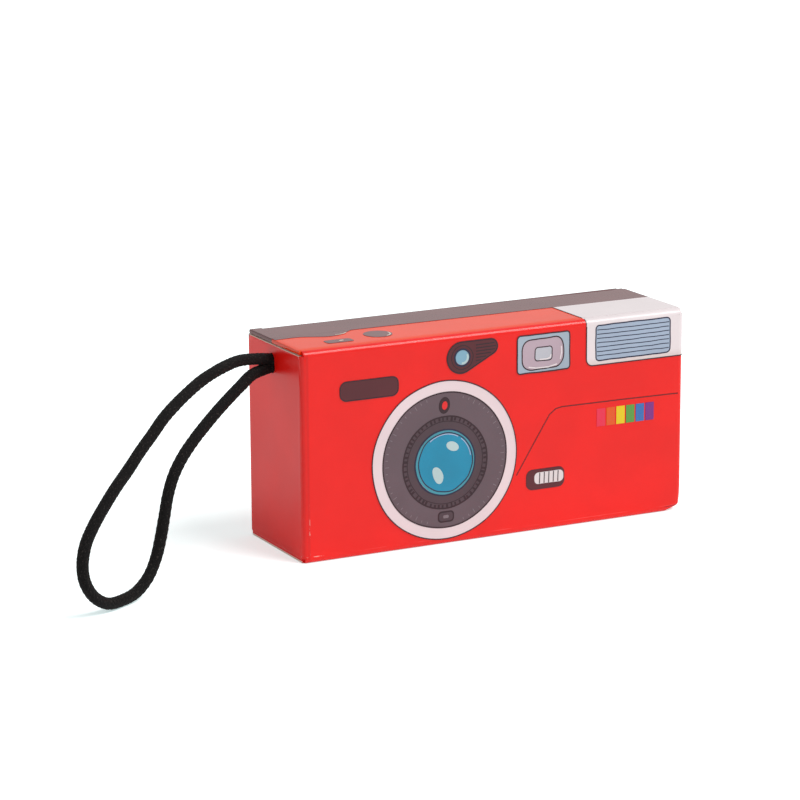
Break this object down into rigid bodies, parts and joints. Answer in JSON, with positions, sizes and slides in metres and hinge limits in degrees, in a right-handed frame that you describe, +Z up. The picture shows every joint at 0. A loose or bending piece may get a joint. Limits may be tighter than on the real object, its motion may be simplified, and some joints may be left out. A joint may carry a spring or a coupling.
{
  "type": "toy camera",
  "caption": "Pretend-play camera: a folded card carton with printed camera features, a tuck-in hinged lid, inner dust flaps and a knotted black cord wrist loop.",
  "frame": {"origin": "middle of the carton's underside", "axes": "+Z up, -Y towards the viewer out of the printed front, +X to the right seen from the front"},
  "size_m": [0.1964, 0.058, 0.0601],
  "materials": {
    "red_board": "red print under gloss lamination",
    "white_ink": "gloss print",
    "grey_ink": "gloss print",
    "dark_ink": "gloss print",
    "blue_ink": "gloss print",
    "pale_blue_ink": "gloss print",
    "colour_bar_ink": "gloss print in several colours",
    "cord": "braided black sheath"
  },
  "bodies": {
    "case": {"front_panel": "red_board", "back_panel": "red_board", "left_panel": "red_board", "right_panel": "red_board", "glue_flap": "red_board", "bottom_flap": "red_board", "bottom_tuck_flap": "red_board", "bottom_dust_flap_left": "red_board", "bottom_dust_flap_right": "red_board", "strap_root": "cord", "strap_knot": "cord", "lens_ring_print": "white_ink", "lens_barrel_print": "grey_ink", "lens_bezel_print": "dark_ink", "lens_glass_print": "blue_ink", "flash_housing_print": "white_ink", "flash_window_print": "pale_blue_ink", "finder_frame_print": "pale_blue_ink", "finder_window_print": "white_ink", "sensor_window_print": "dark_ink", "sensor_eye_print": "pale_blue_ink", "label_print": "dark_ink", "switch_print": "dark_ink", "colour_bar_print": "colour_bar_ink", "trim_line_print": "dark_ink"},
    "lid": {"lid_panel": "red_board", "lid_tuck_flap": "red_board", "lid_flash_print": "white_ink", "lid_band_print": "dark_ink", "lid_button_print": "dark_ink", "lid_key_print": "dark_ink"},
    "left_dust_flap": {"lid_dust_flap_left": "red_board"},
    "right_dust_flap": {"lid_dust_flap_right": "red_board"},
    "strap": {"strap_loop": "cord"}
  },
  "joints": [
    {"name": "lid_hinge", "type": "hinge", "parent": "case", "child": "lid", "pos_m": [0, -0.0164, 0.06], "axis": [1, 0, 0], "range_deg": [0, 150]},
    {"name": "left_dust_hinge", "type": "hinge", "parent": "case", "child": "left_dust_flap", "pos_m": [-0.0596, 0, 0.0586], "axis": [0, -1, 0], "range_deg": [0, 60]},
    {"name": "right_dust_hinge", "type": "hinge", "parent": "case", "child": "right_dust_flap", "pos_m": [0.0596, 0, 0.0586], "axis": [0, 1, 0], "range_deg": [0, 60]},
    {"name": "strap_swing", "type": "hinge", "parent": "case", "child": "strap", "pos_m": [-0.0646, 0.0015, 0.0532], "axis": [-0.5, 0.866, 0], "range_deg": [0, 75]}
  ],
  "couplings": [
    {"joint": "left_dust_hinge", "follows": "lid_hinge", "ratio": 0.4},
    {"joint": "right_dust_hinge", "follows": "lid_hinge", "ratio": 0.4}
  ]
}
